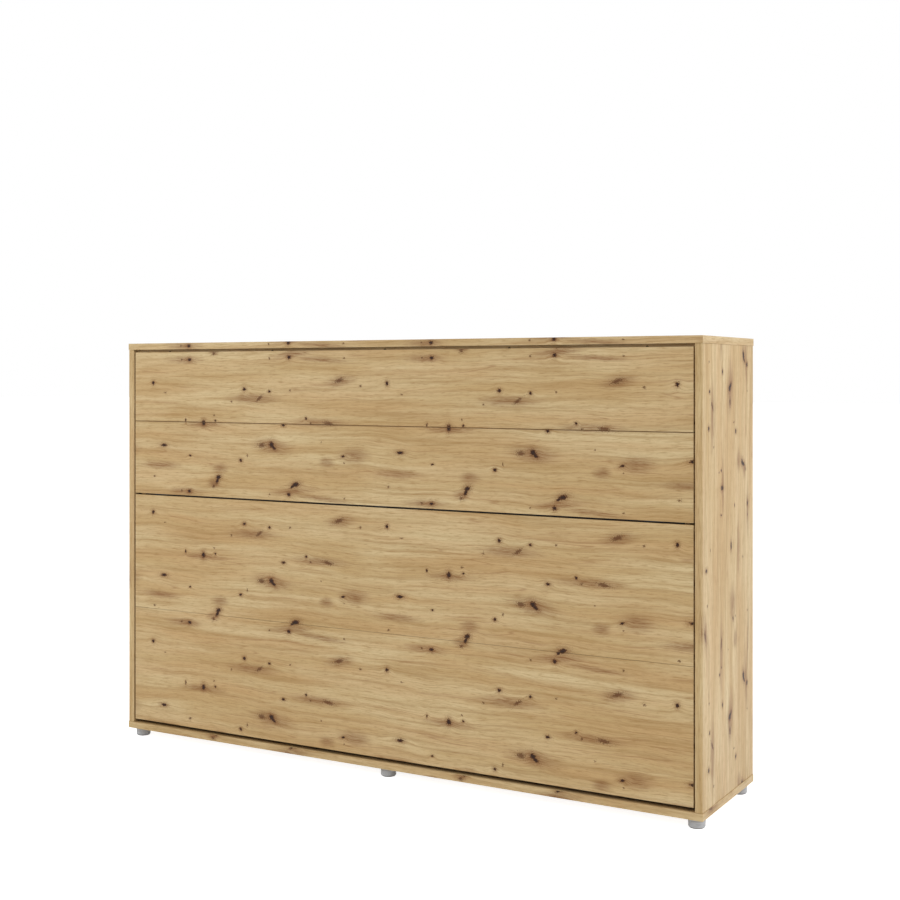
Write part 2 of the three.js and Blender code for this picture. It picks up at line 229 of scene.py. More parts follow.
# Features in whole millimetres: along, across, half length, half height; then a tilt in degrees.
# Dark knots:
KNOTS = [
    (83, 107, 8, 9, 0), (247, 27, 11, 8, 0), (485, 128, 9, 8, 0), (590, 135, 7, 6, 0),
    (309, 245, 11, 14, 0), (360, 237, 5, 5, 0), (230, 237, 4, 7, 0), (670, 21, 10, 9, 0),
    (648, 248, 10, 6, 0), (740, 223, 6, 6, 0), (132, 326, 18, 7, 0), (599, 313, 15, 13, 35),
    (607, 322, 16, 8, 35), (470, 369, 8, 7, 0), (374, 430, 15, 11, -20), (369, 442, 8, 16, 28),
    (697, 443, 21, 11, -12), (684, 450, 13, 6, -30), (250, 359, 6, 4, 0), (886, 344, 10, 5, -15),
]
# Small or faint knots, lighter than the dark ones:
SPECKS = [
    (137, 141, 8, 3, 0), (430, 171, 6, 6, 0), (355, 218, 6, 5, 0), (675, 131, 6, 5, 0),
    (890, 25, 6, 5, 0), (953, 116, 7, 6, 0), (758, 240, 6, 5, 0), (497, 352, 5, 8, 0),
    (890, 365, 4, 4, 0), (89, 436, 7, 6, 0), (212, 26, 6, 6, 0), (590, 24, 5, 5, 0),
    (800, 300, 4, 4, 0), (548, 158, 24, 8, -35), (870, 98, 28, 10, -20), (558, 316, 22, 12, 0),
    (353, 6, 10, 9, 0), (828, 238, 30, 9, 6),
]
# Brown clouds in the wood around and between the knots:
CLOUDS = [
    (225, 28, 80, 14, 0), (680, 12, 90, 14, -6), (800, 30, 110, 9, 4), (520, 160, 110, 18, 0),
    (875, 100, 60, 20, -8), (310, 250, 90, 12, 0), (790, 236, 120, 15, 0), (600, 318, 85, 26, 6),
    (930, 340, 60, 26, 0), (382, 398, 35, 18, 0), (822, 367, 30, 18, 0), (353, 452, 30, 16, 0),
    (120, 395, 90, 14, 0),
]
# How far each kind shows, in its own half sizes.
KNOT_REACH = 2.2
SPECK_REACH = 1.3
CLOUD_REACH = 1.4

PALE = srgb(210, 188, 144)
HONEY = srgb(192, 163, 115)
PINK = srgb(193, 155, 108)
TAN = srgb(157, 123, 74)
BROWN = srgb(138, 95, 56)
RUSSET = srgb(120, 75, 38)
UMBER = srgb(84, 46, 17)
CORE = srgb(42, 21, 5)
# Painted sheen: a multiplier that makes the faces along X paler and bluer, as if more light fell on
# them.
PAINTED_SHEEN_X = (1.03, 1.055, 1.13, 1)  # multiplies the print on the faces along X

EDGE_SHIFT = -1.28  # keeps knots off the narrow front edges of upright boards
FACES = 0.6  # a face whose direction has more than this along an axis faces along it
WOBBLE = (0.008, 0.006, 0)  # how far the knots' edges are pushed about
BEND = 0.006  # how far the grain gives way to a knot
DRIFT = 0.045  # how far the grain drifts across the board


def with_neighbours(features, half_sizes):
    """The features in metres, with copies of those that reach over the tile's edges."""
    tiled = []
    for along, across, length, height, tilt in features:
        reach = half_sizes * max(length, height) * MM
        for step_along, step_across in product((-1, 0, 1), repeat=2):
            u = along * MM + step_along * TILE[0]
            v = across * MM + step_across * TILE[1]
            if -reach < u < TILE[0] + reach and -reach < v < TILE[1] + reach:
                tiled.append((u, v, length * MM, height * MM, tilt))
    return tiled


def nearest(mat, place, features, half_sizes):
    """How far the place is from the nearest feature, in that feature's own half sizes."""
    distance = 9.0
    for u, v, length, height, tilt in with_neighbours(features, half_sizes):
        inputs = {"Vector": place, "Location": (u, v, 0), "Scale": (length, height, 1)}
        inputs["Rotation"] = (0, 0, math.radians(tilt))
        mapping = mat.node("Mapping", inputs, vector_type="TEXTURE")
        distance = mat.math("MINIMUM", mat.vector("LENGTH", mapping.outputs[0]), distance)
    return distance


def grain_place(mat, grain, start):
    """(along, across) on each face of a board, and 1 on the faces that face along X.

    The grain runs along the board's faces, and edge banding covers its ends.
    """
    x, y, z = mat.split(mat.point)
    edge = mat.plus(mat.math("ABSOLUTE", x), EDGE_SHIFT)
    facing_x, _, facing_z = mat.split(mat.vector("ABSOLUTE", mat.normal))
    faces_x = mat.math("GREATER_THAN", facing_x, FACES)
    faces_z = mat.math("GREATER_THAN", facing_z, FACES)
    if grain == "X":
        along = mat.choose(faces_x, x, y)
        across = mat.choose(faces_z, mat.times(z, -1.0), y)
        across = mat.choose(faces_x, across, z)
    else:
        along = mat.choose(faces_z, z, x)
        across = mat.choose(faces_x, edge, y)
    place = mat.join(mat.plus(along, start[0]), mat.plus(across, start[1]))
    return place, faces_x


def oak(name, grain, start):
    """Melamine board with a knotty oak print, with a painted sheen that makes the faces along X a
    little paler and bluer.
    """
    mat = Shader(name)
    place, faces_x = grain_place(mat, grain, start)

    # Irregular knot edges: the place is pushed about by a fine noise before distances are taken.
    fine = mat.vector("MULTIPLY", place, (1, 1.6, 1))
    wobble = mat.noise(fine, 120, detail=3, output="Color")
    offset = mat.vector("SUBTRACT", wobble, (0.5, 0.5, 0.5))
    pushed = mat.vector("MULTIPLY_ADD", offset, WOBBLE, place)
    tiled = mat.vector("WRAP", pushed, (*TILE, 1), (0, 0, 0))
    knot = nearest(mat, tiled, KNOTS, KNOT_REACH)
    speck = nearest(mat, tiled, SPECKS, SPECK_REACH)
    cloud = nearest(mat, tiled, CLOUDS, CLOUD_REACH)

    # The grain bends round the knots and drifts slowly up and down the board.
    bend = mat.times(mat.smooth(knot, 4.0, 0.8), BEND)
    drift = mat.fibres(place, (1, 2, 1), 3, 0.45, scale=2.4)
    drift = mat.times(mat.math("SUBTRACT", drift, 0.5), DRIFT)
    flow = mat.vector("ADD", place, mat.join(0.0, mat.plus(bend, drift)))

    broad = mat.fibres(flow, (1.3, 13, 1), 4, 0.55)
    bands = mat.fibres(flow, (2.2, 70, 1), 4, 0.6)
    hue = mat.fibres(flow, (1.7, 22, 2), 3, 0.5)
    streaks = mat.fibres(flow, (7, 330, 1), 4, 0.7)
    flecks = mat.fibres(flow, (24, 240, 1), 3, 0.65)
    pores = mat.fibres(flow, (45, 1400, 1), 2, 0.6)
    wavy = mat.fibres(flow, (1, 24, 1), 1.5, 0.4)
    line = mat.math("PINGPONG", mat.times(wavy, 5.0), 0.5)
    line = mat.times(mat.smooth(line, 0.05, 0.0), mat.smooth(hue, 0.42, 0.62))
    color = mat.layers(
        mat.mix(mat.smooth(broad, 0.36, 0.64), PALE, HONEY),
        (mat.between(hue, 0.4, 0.65, 0.0, 0.42), PINK),
        (mat.between(bands, 0.47, 0.72, 0.0, 0.68), TAN),
        (mat.between(streaks, 0.5, 0.72, 0.0, 0.6), TAN),
        (mat.between(flecks, 0.52, 0.7, 0.0, 0.65), TAN),
        (mat.times(line, 0.4), BROWN),
        (mat.between(pores, 0.56, 0.8, 0.0, 0.5), BROWN),
    )
    # Painted sheen on the faces along X: the print is made paler and bluer there.
    color = mat.mix(faces_x, color, PAINTED_SHEEN_X, "MULTIPLY")

    # Clouds are streaked by the fibres; knots have a warm halo and a ragged dark middle.
    fibrous = mat.math("MULTIPLY_ADD", flecks, 0.5, mat.times(streaks, 0.5))
    haze = mat.times(mat.smooth(cloud, CLOUD_REACH, 0.1), 0.68)
    ragged = mat.fibres(place, (1, 1.3, 1), 2, 0.6, scale=260)
    knot = mat.times(knot, mat.between(ragged, 0.3, 0.7, 0.6, 1.6))
    speck = mat.times(speck, mat.between(ragged, 0.3, 0.7, 0.4, 2.1))
    color = mat.layers(
        color,
        (mat.times(haze, mat.between(fibrous, 0.36, 0.58, 0.4, 1.1)), RUSSET),
        (mat.times(mat.smooth(knot, KNOT_REACH, 0.9), 0.4), RUSSET),
        (mat.times(mat.smooth(speck, 1.1, 0.4), 0.8), UMBER),
        (mat.smooth(knot, 0.95, 0.6), UMBER),
        (mat.smooth(knot, 0.7, 0.35), CORE),
    )

    shine = mat.between(pores, 0.3, 0.8, 0.46, 0.58)
    relief = mat.math("MULTIPLY_ADD", pores, 0.6, mat.times(streaks, 0.4))
    return mat.finish(color, shine, (relief, 0.00012, 0.5), specular=0.2)


# ---- other materials


def tones(color, light, dark):
    """Two shades of a screen colour."""
    return [srgb(*(share * value for value in color)) for share in (light, dark)]


def birch():
    """Laminated birch with a thin clear lacquer."""
    mat = Shader("birch_slat")
    x, y, z = mat.split(mat.point)
    drift = mat.times(mat.noise(mat.point, 6.0), 0.03)
    place = mat.join(mat.plus(x, drift), y, z)
    grain = mat.fibres(place, (160, 90, 4), 4, 0.6)
    fleck = mat.fibres(place, (900, 900, 40), 2, 0.5)
    ply = mat.math("PINGPONG", mat.times(y, 1000.0), 0.7)
    color = mat.mix(mat.smooth(grain, 0.35, 0.7), srgb(222, 196, 150), srgb(199, 167, 116))
    color = mat.mix(mat.between(fleck, 0.55, 0.8, 0, 0.5), color, srgb(160, 124, 78))
    shine = mat.between(grain, 0.3, 0.7, 0.34, 0.5)
    relief = mat.plus(mat.times(grain, 0.7), ply)
    return mat.finish(color, shine, (relief, 0.0002, 0.4), coat=0.15)


def hardboard():
    """Thin fibreboard with a pale printed face."""
    mat = Shader("hardboard")
    fibre = mat.noise(mat.point, 700, 4, 0.7)
    cloud = mat.noise(mat.point, 9, 3, 0.5)
    color = mat.mix(mat.smooth(cloud, 0.3, 0.7), srgb(230, 223, 208), srgb(225, 217, 200))
    color = mat.mix(mat.between(fibre, 0.5, 0.8, 0, 0.3), color, srgb(184, 164, 132))
    shine = mat.between(fibre, 0.3, 0.7, 0.62, 0.8)
    return mat.finish(color, shine, (fibre, 0.0002, 0.4), specular=0.35)


def plastic(name, color, roughness):
    """Moulded plastic with a fine spark-eroded texture and faint handling marks."""
    mat = Shader(name)
    marks = mat.fibres(mat.point, (60, 60, 220), 3, 0.6)
    color = mat.mix(mat.smooth(marks, 0.35, 0.75), *tones(color, 1.03, 0.94))
    shine = mat.between(marks, 0.3, 0.7, roughness - 0.06, roughness + 0.1)
    grain = mat.noise(mat.point, 2600, 2, 0.6)
    return mat.finish(color, shine, (grain, 0.00008, 0.5))


def powder_coat(name, color):
    """Powder paint on steel: a slight orange peel and a satin shine."""
    mat = Shader(name)
    dust = mat.noise(mat.point, 14, 4, 0.6)
    color = mat.mix(mat.smooth(dust, 0.35, 0.7), *tones(color, 1, 0.82))
    shine = mat.between(dust, 0.3, 0.7, 0.5, 0.66)
    return mat.finish(color, shine, (mat.noise(mat.point, 900), 0.00015, 0.6))


def metal(name, color, roughness, brushed=(1, 1, 60), wear=0.12):
    """Bare or plated metal with fine directional marks."""
    mat = Shader(name)
    lines = mat.fibres(mat.point, brushed, 4, 0.7, scale=40)
    cloud = mat.noise(mat.point, 30, 3, 0.6)
    color = mat.mix(mat.smooth(cloud, 0.3, 0.75), *tones(color, 1, 0.92))
    shine = mat.between(lines, 0.25, 0.75, roughness, roughness + wear)
    return mat.finish(color, shine, (lines, 0.00004, 0.35), metallic=1.0)


def webbing():
    """Woven strap: ribs across the band and a twill along it."""
    mat = Shader("webbing")
    x, y, z = mat.split(mat.point)
    run = mat.plus(z, y)
    rib = mat.sine(run, math.tau / 0.0022)
    twill = mat.sine(mat.plus(x, run), math.tau / 0.0031)
    weave = mat.math("MULTIPLY_ADD", twill, 0.5, rib)
    fuzz = mat.noise(mat.point, 1800)
    # Painted shade: the colour follows the weave's height, darker in its hollows and lighter on its
    # crowns.
    color = mat.mix(mat.smooth(weave, -1.2, 1.2), srgb(34, 35, 39), srgb(78, 80, 86))
    color = mat.mix(mat.between(fuzz, 0.5, 0.8, 0, 0.3), color, srgb(104, 105, 108))
    return mat.finish(color, 0.78, (weave, 0.0004, 0.5), sheen=0.3)


def ticking():
    """Knitted mattress cover: off white with a soft damask of small leaves."""
    mat = Shader("ticking")
    x, _, z = mat.split(mat.point)
    knit = mat.times(mat.sine(x, math.tau / 0.0018), mat.sine(z, math.tau / 0.0014))
    wave = mat.times(mat.sine(x, 42.0), 0.012)
    leaf = mat.smooth(mat.sine(mat.plus(z, wave), 150.0), 0.1, 0.5)
    fuzz = mat.noise(mat.point, 900, 3, 0.6)
    color = mat.mix(leaf, srgb(236, 234, 228), srgb(230, 229, 225))
    color = mat.mix(mat.between(fuzz, 0.45, 0.8, 0, 0.3), color, srgb(205, 203, 199))
    relief = mat.math("MULTIPLY_ADD", leaf, 0.4, knit)
    return mat.finish(color, 0.86, (relief, 0.0005, 0.4), sheen=0.25, specular=0.25)


def side_band():
    """Grey spacer fabric round the mattress, with an open honeycomb knit."""
    mat = Shader("side_band")
    inputs = {"Vector": mat.point, "Scale": 260}
    cells = mat.node("TexVoronoi", inputs, feature="DISTANCE_TO_EDGE")
    edge = cells.outputs["Distance"]
    # Painted shade: the sunken middles of the cells, the knit's open holes, are darker than the
    # threads round them.
    color = mat.mix(mat.smooth(edge, 0.05, 0.3), srgb(176, 178, 182), srgb(122, 125, 131))
    relief = mat.smooth(edge, 0.0, 0.3)
    return mat.finish(color, 0.85, (relief, 0.0006, -0.6), sheen=0.3, specular=0.25)


def felt():
    """Brown felt with a short pile."""
    mat = Shader("felt")
    fuzz = mat.noise(mat.point, 1500, 5, 0.8)
    color = mat.mix(mat.smooth(fuzz, 0.35, 0.65), srgb(62, 48, 34), srgb(92, 74, 54))
    return mat.finish(color, 0.95, (fuzz, 0.0008, 0.8), sheen=0.5, specular=0.1)


# ---- piece building


def nodes_named(start):
    return [name for name in frame["nodes"] if name.startswith(start)]


def ends(node, axis, inset=0.0):
    """Where a CAD node's box starts and ends along an axis, each moved inwards by an inset."""
    low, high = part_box(node)
    return low[axis] + inset, high[axis] - inset


def middle_of(node, axis):
    return sum(ends(node, axis)) / 2


def piece(name, shape, material, body, smooth_angle=35):
    """An object made from a bmesh, in the row's frame, that rides on a body."""
    mesh = bpy.data.meshes.new(name)
    bmesh.ops.recalc_face_normals(shape, faces=shape.faces)
    shape.to_mesh(mesh)
    shape.free()
    mesh.materials.append(material)
    mesh.shade_smooth()
    mesh.set_sharp_from_angle(angle=math.radians(smooth_angle))
    thing = bpy.data.objects.new(name, mesh)
    bpy.context.collection.objects.link(thing)
    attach(thing, body)
    return thing


def polar(radius, index, count):
    angle = 2 * math.pi * index / count
    return radius * math.cos(angle), radius * math.sin(angle)


def loft(shape, rings):
    """Adds the faces between neighbouring rings of vertices; a ring may be a single point."""
    for lower, upper in zip(rings, rings[1:]):
        count = max(len(lower), len(upper))
        for i in range(count):
            j = (i + 1) % count
            corners = [lower[i % len(lower)], lower[j % len(lower)]]
            corners += [upper[j % len(upper)], upper[i % len(upper)]]
            corners = list(dict.fromkeys(corners))
            if len(corners) > 2:
                shape.faces.new(corners)


def turn_profile(shape, profile, segments, place, ring=False):
    """Adds the solid that (radius, height) points in millimetres make when turned about Z.

    The matrix place then takes it to where it belongs.  The profile starts and ends on the axis,
    or closes on itself where ring is true.
    """
    rings = []
    for radius, height in profile:
        count = segments if radius else 1
        points = (Vector((*polar(radius * MM, i, segments), height * MM)) for i in range(count))
        rings.append([shape.verts.new(place @ point) for point in points])
    loft(shape, rings + rings[:1] if ring else rings)


def turned(name, profile, place, material, body, segments=40, ring=False, smooth_angle=35):
    """A piece that is one turned profile."""
    shape = bmesh.new()
    turn_profile(shape, profile, segments, place, ring)
    return piece(name, shape, material, body, smooth_angle)


def rounded_block(shape, low, high, radius, segments=3):
    """Adds a box with rounded edges between two corners."""
    size = Vector(high) - Vector(low)
    middle = (Vector(high) + Vector(low)) / 2
    block = bmesh.new()
    matrix = Matrix.Translation(middle) @ Matrix.Diagonal((*size, 1))
    bmesh.ops.create_cube(block, size=1, matrix=matrix)
    bmesh.ops.bevel(
        block, geom=block.edges[:], offset=radius, segments=segments, profile=0.5, affect="EDGES"
    )
    merge(shape, block)


def merge(shape, other):
    """Moves everything of one bmesh into another."""
    holder = bpy.data.meshes.new("holder")
    other.to_mesh(holder)
    other.free()
    shape.from_mesh(holder)
    bpy.data.meshes.remove(holder)


def facing(point, direction):
    """A matrix that takes +Z to a direction and the origin to a point."""
    turn = Vector(direction).to_track_quat("Z", "Y").to_matrix().to_4x4()
    return Matrix.Translation(point) @ turn


SCREW_RADIUS = 3.8 * MM
SCREW_HEIGHT = 0.8 * MM
SCREW_SEGMENTS = 40
# The head's rings as shares of its radius; the first two make its upright rim.
SCREW_RINGS = (1, 1, 0.97, 0.86, 0.7, 0.55, 0.46, 0.38, 0.3, 0.22, 0.15, 0.08)


def screw_head(shape, point, direction, radius=SCREW_RADIUS, height=SCREW_HEIGHT, turn=0.0):
    """Adds a flat-domed screw head with a cross recess, standing on a face at point."""
    matrix = facing(point, direction) @ Matrix.Rotation(turn, 4, "Z")
    rings = []
    for level, share in enumerate(SCREW_RINGS):
        dome = 0.35 * level if share == 1 else math.sqrt(1 - 0.8 * share * share)
        ring = []
        for i in range(SCREW_SEGMENTS):
            x, y = polar(radius * share, i, SCREW_SEGMENTS)
            near, far = sorted((abs(x), abs(y)))
            recessed = near < 0.11 * radius and far < 0.5 * radius
            z = height * (0.25 if recessed else dome)
            ring.append(shape.verts.new(matrix @ Vector((x, y, z))))
        rings.append(ring)
    loft(shape, rings)
    shape.faces.new(rings[-1])
    shape.faces.new(reversed(rings[0]))


def screws(name, places, direction, body, material, radius=SCREW_RADIUS, height=SCREW_HEIGHT):
    """One piece that holds a row or group of alike screw heads."""
    turns = random.Random(name)
    shape = bmesh.new()
    for place in places:
        screw_head(shape, place, direction, radius, height, turns.uniform(0, math.pi))
    return piece(name, shape, material, body, smooth_angle=50)


# ---- feet


def feet(material, pad):
    """Moulded feet: a flange under the board, a shallow groove, and a felt disc on the floor."""
    for node in nodes_named("foot_"):
        low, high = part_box(node)
        middle = Matrix.Translation((middle_of(node, 0), middle_of(node, 1), 0))
        top = high[2] / MM
        wide = (high[0] - low[0]) / 2 / MM
        profile = [
            (0, 2.2), (wide - 2.5, 2.2), (wide - 1, 2.8), (wide - 0.4, 4.2),
            (wide - 0.1, top - 9.4), (wide - 0.8, top - 8.6), (wide - 0.8, top - 7.8),
            (wide - 0.1, top - 7), (wide, top - 1.2), (wide - 0.6, top - 0.3), (wide - 2, top),
            (0, top),
        ]
        name = f"{node}_moulding"
        body = turned(name, profile, middle, material, "cabinet", 72, False, 30)
        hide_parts(node)
        disc = [(0, 0), (wide - 4, 0), (wide - 3, 0.7), (wide - 3, 2.1), (0, 2.1)]
        turned(f"{node}_pad", disc, middle, pad, "cabinet", 48, False, 40)


# ---- leg flap hinge, glides and catches

KNUCKLE_LENGTH = 24  # millimetres, as is all that goes into a turned profile
KNUCKLE_RADIUS = 1.15
KNUCKLE_GAP = 0.15
KNUCKLE_EDGE = 0.25


def leg_hinge(bronze):
    """A continuous hinge: a pin with knuckles that belong to the bed and to the flap in turn."""
    start, end = ends("leg_hinge_pin", 0)
    axis = (middle_of("leg_hinge_pin", 1), middle_of("leg_hinge_pin", 2))
    length = end - start
    count = 2 * round(length / (2 * KNUCKLE_LENGTH * MM)) + 1
    pitch = length / count
    half = pitch / 2 / MM - KNUCKLE_GAP
    inner = KNUCKLE_RADIUS - KNUCKLE_EDGE
    profile = [(0, -half), (inner, -half), (KNUCKLE_RADIUS, -half + KNUCKLE_EDGE)]
    profile += [(KNUCKLE_RADIUS, half - KNUCKLE_EDGE), (inner, half), (0, half)]
    fixed, moving = bmesh.new(), bmesh.new()
    for i in range(count):
        place = facing((start + (i + 0.5) * pitch, *axis), (1, 0, 0))
        turn_profile(moving if i % 2 else fixed, profile, 20, place)
    tip = [(0, 0), (0.6, 0), (0.8, 0.3), (0.5, 0.9), (0, 1)]
    for x, direction in ((end, 1), (start, -1)):
        turn_profile(fixed, tip, 16, facing((x, *axis), (direction, 0, 0)))
    knuckles = piece("leg_hinge_fixed_knuckles", fixed, bronze, "bed_frame")
    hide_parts("leg_hinge_pin")
    piece("leg_hinge_moving_knuckles", moving, bronze, "leg_flap")


def leg_glides(material):
    """Small plastic glides on the flap's free edge, which stands on the floor."""
    left, right = ends("leg_panel", 0, 0.12)
    edge, middle = ends("leg_panel", 2)[0], middle_of("leg_panel", 1)
    for label, x in (("left", left), ("middle", 0.0), ("right", right)):
        shape = bmesh.new()
        near = (x - 0.03, middle - 6.5 * MM, edge - 2.4 * MM)
        far = (x + 0.03, middle + 6.5 * MM, edge)
        rounded_block(shape, near, far, 1.0 * MM)
        piece(f"leg_glide_{label}", shape, material, "leg_flap")


CATCH_X = 0.62  # the catches' distance from the bed's middle
CATCH_LIFT = 6.5 * MM  # from the middle tube's top to the magnets' middle


def leg_catches(black, zinc):
    """Magnets in plastic housings on the middle tube, and steel keepers let into the flap."""
    _, panel_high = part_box("leg_panel")
    tube_low, tube_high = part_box("frame_tube_middle")
    front = tube_low[1] + 1 * MM
    level = tube_high[2] + CATCH_LIFT
    for label, side in SIDES:
        x = side * CATCH_X
        shape = bmesh.new()
        near = (x - 0.024, front, tube_high[2] + 0.3 * MM)
        far = (x + 0.024, tube_high[1] - 14 * MM, tube_high[2] + 13 * MM)
        rounded_block(shape, near, far, 1.5 * MM)
        for pole in BOTH:
            magnet = Vector((x + pole * 0.010, front, level))
            near = magnet - Vector((0.006, 0.6 * MM, 0.0035))
            far = magnet + Vector((0.006, 0.2 * MM, 0.0035))
            rounded_block(shape, near, far, 0.15 * MM, 1)
        piece(f"leg_catch_{label}", shape, black, "bed_frame")
        shape = bmesh.new()
        disc = [(0, 0), (13, 0), (13.5, 0.1), (13.5, 0.3), (0, 0.3)]
        turn_profile(shape, disc, 32, facing((x, panel_high[1], level), (0, 1, 0)))
        place = (x, panel_high[1] + 0.25 * MM, level)
        screw_head(shape, place, (0, 1, 0), 2.6 * MM, 0.1 * MM)
        piece(f"leg_keeper_{label}", shape, zinc, "leg_flap")


# ---- pivots and struts

PLATE = 3 * MM  # thickness of the steel plates
PLATE_GAP = 0.3 * MM
EYE_RADIUS = 10 * MM


def joint(name):
    return next(j for j in frame["record"]["behaviour"]["joints"] if j["name"] == name)


def pivot_hardware(label, side, zinc, nylon):
    """Screws of the plates on the cabinet and on the bed, and a nylon washer on the pin."""
    _, pivot_y, pivot_z = joint("bed_tilt")["pos_m"]
    wall_face = side * (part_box("right_side_panel")[0][0] - PLATE_GAP - PLATE)
    bed_face = side * (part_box("bed_right_board")[1][0] + PLATE_GAP + PLATE)
    plates = (
        ("pivot", wall_face, 28 * MM, 53 * MM, -side, "cabinet"),
        ("socket", bed_face, 34 * MM, 44 * MM, side, "bed_frame"),
    )
    for kind, face, away_y, away_z, out, body in plates:
        corners = product(BOTH, BOTH)
        places = [(face, pivot_y + y * away_y, pivot_z + z * away_z) for y, z in corners]
        screws(f"{label}_{kind}_screws", places, (out, 0, 0), body, zinc)

    boss = facing((bed_face + side * 6.2 * MM, pivot_y, pivot_z), (side, 0, 0))
    washer = [(7.4, 0), (13, 0), (13.5, 0.4), (13.5, 1.4), (13, 1.8), (7.4, 1.8)]
    name = f"{label}_pivot_washer"
    turned(name, washer, boss, nylon, "bed_frame", ring=True)


def strut(label, side, paint_black, chrome, rubber, zinc):
    """The strut's cylinder and rod, turned about the strut's own line, with eyes and a seal."""
    top = Vector(joint(f"{label}_strut_swing")["pos_m"])
    line = Vector(joint(f"{label}_strut_slide")["axis"])
    along = facing(top, line)
    body = f"{label}_strut_cylinder"
    profile = [
        (0, 20), (3.4, 20), (3.6, 25), (7.2, 25.4), (8.6, 26.4), (9, 28.2), (9, 46), (8.4, 47.2),
        (8.4, 48.4), (9, 49.6), (9, 416), (8.3, 417.4), (8.3, 419.4), (9, 420.8), (9, 428),
        (8.4, 429.4), (7.4, 430), (5.4, 430), (5.4, 205), (0, 205),
    ]
    cylinder = turned(f"{label}_strut_tube", profile, along, paint_black, body)
    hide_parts(f"{label}_strut_cylinder")
    strut_eye(f"{label}_strut_top_eye", top, line, side, zinc, body)
    seal = [(5, 430.1), (8.2, 430.1), (8.6, 430.6), (8.2, 433.3), (6.2, 434.7), (5, 434.9)]
    turned(f"{label}_strut_seal", seal, along, rubber, body, ring=True)

    body = f"{label}_strut_rod"
    low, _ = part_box(body)
    foot = top + line * ((low[2] + EYE_RADIUS - top[2]) / line[2])
    end = (foot - top).length / MM
    profile = [(0, 410), (4.2, 410), (4.7, 410.6), (4.7, end - 22), (4.2, end - 20)]
    profile += [(4.2, end - 9), (0, end - 9)]
    bar = turned(f"{label}_strut_bar", profile, along, chrome, body)
    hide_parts(f"{label}_strut_rod")
    strut_eye(f"{label}_strut_foot_eye", foot, -line, side, zinc, body)


def strut_eye(name, middle, inward, side, material, body):
    """A flat steel eye, 8 mm thick, with a collar towards the strut."""
    shape = bmesh.new()
    ring = [(4.4, -4), (9, -4), (9.8, -3.2), (10, -2.4), (10, 2.4), (9.8, 3.2), (9, 4), (4.4, 4)]
    turn_profile(shape, ring, 40, facing(middle, (side, 0, 0)), ring=True)
    collar = [(0, 9.9), (3.4, 9.9), (5.2, 12), (5.2, 19), (4.6, 19.8), (0, 19.8)]
    turn_profile(shape, collar, 32, facing(middle, inward))
    piece(name, shape, material, body)


def strut_bracket_screws(label, side, zinc):
    """Screws of the strut's bracket on the side panel, and the clip on its stud."""
    _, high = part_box(f"{label}_strut_bracket")
    _, stud_y, stud_z = joint(f"{label}_strut_swing")["pos_m"]
    face = side * (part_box("right_side_panel")[0][0] - PLATE_GAP - 2.8 * MM)
    places = [(face, stud_y + step * 10 * MM, high[2] - 12 * MM) for step in BOTH]
    screws(f"{label}_strut_bracket_screws", places, (-side, 0, 0), "cabinet", zinc, 3.2 * MM)
    clip = [(4.1, 0), (6.4, 0), (6.6, 0.4), (6.4, 0.8), (4.1, 0.8)]
    place = facing((face - side * 6.2 * MM, stud_y, stud_z), (side, 0, 0))
    turned(f"{label}_strut_clip", clip, place, zinc, "cabinet", 24, ring=True)


# ---- cabinet fittings


def cam_covers(material):
    """Round caps over the fittings that hold the boards together."""
    profile = [(0, 0.45), (6.6, 0.45), (7.2, 0.35), (7.5, 0.1), (7.5, 0), (0, 0)]
    for label, side in SIDES:
        panel, board = f"{label}_side_panel", f"bed_{label}_board"
        front, back = ends(panel, 1)
        fronts = (front + 0.065, 0.02, back - 0.055)
        groups = (
            ("cabinet", panel, -side, fronts, ends(panel, 2, 0.034), "cabinet"),
            ("bed", board, side, ends(board, 1, 0.035), ends(board, 2, 0.008), "bed_frame"),
        )
        for kind, node, out, depths, levels, body in groups:
            face = ends(node, 0)[out > 0]
            shape = bmesh.new()
            for y, z in product(depths, levels):
                turn_profile(shape, profile, 28, facing((face, y, z), (out, 0, 0)))
            piece(f"{label}_{kind}_cam_covers", shape, material, body)


STOP_PADS = 5
STOP_PAD_INSET = 0.15  # from the batten's ends to the outer pads


def stop_pads(material):
    """Felt dots where the closed front meets the batten under the top board."""
    node = "top_stop_strip"
    start, end = ends(node, 0, STOP_PAD_INSET)
    front, level = ends(node, 1)[0], middle_of(node, 2) - 2 * MM
    shape = bmesh.new()
    dot = [(0, 0), (5, 0), (5, 0.3), (4.6, 0.42), (0, 0.42)]
    for i in range(STOP_PADS):
        x = start + i * (end - start) / (STOP_PADS - 1)
        turn_profile(shape, dot, 24, facing((x, front, level), (0, -1, 0)))
    piece("stop_pads", shape, material, "cabinet")


BACK_SCREWS = 9  # up the outer edge of each back board


def back_fixings(zinc):
    """Screws of the back rails, the back boards and the wall brackets."""

    def on_back(node, across, levels, *size):
        places = [(x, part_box(node)[1][1], z) for x, z in product(across, levels)]
        screws(f"{node}_screws", places, (0, 1, 0), "cabinet", zinc, *size)

    for node in ("upper_back_rail", "lower_back_rail"):
        on_back(node, ends(node, 0, 0.03), ends(node, 2, 0.025), 4 * MM)
    for label, side in SIDES:
        node = f"{label}_wall_bracket"
        across = [middle_of(node, 0) + step * 0.026 for step in BOTH]
        on_back(node, across, ends(node, 2, 0.014), 4.4 * MM, 1.0 * MM)
        node = f"back_panel_{label}"
        start, end = ends(node, 2, 0.15)
        levels = [start + i * (end - start) / (BACK_SCREWS - 1) for i in range(BACK_SCREWS)]
        on_back(node, [ends(node, 0, 0.012)[side > 0]], levels, 3 * MM, 0.6 * MM)


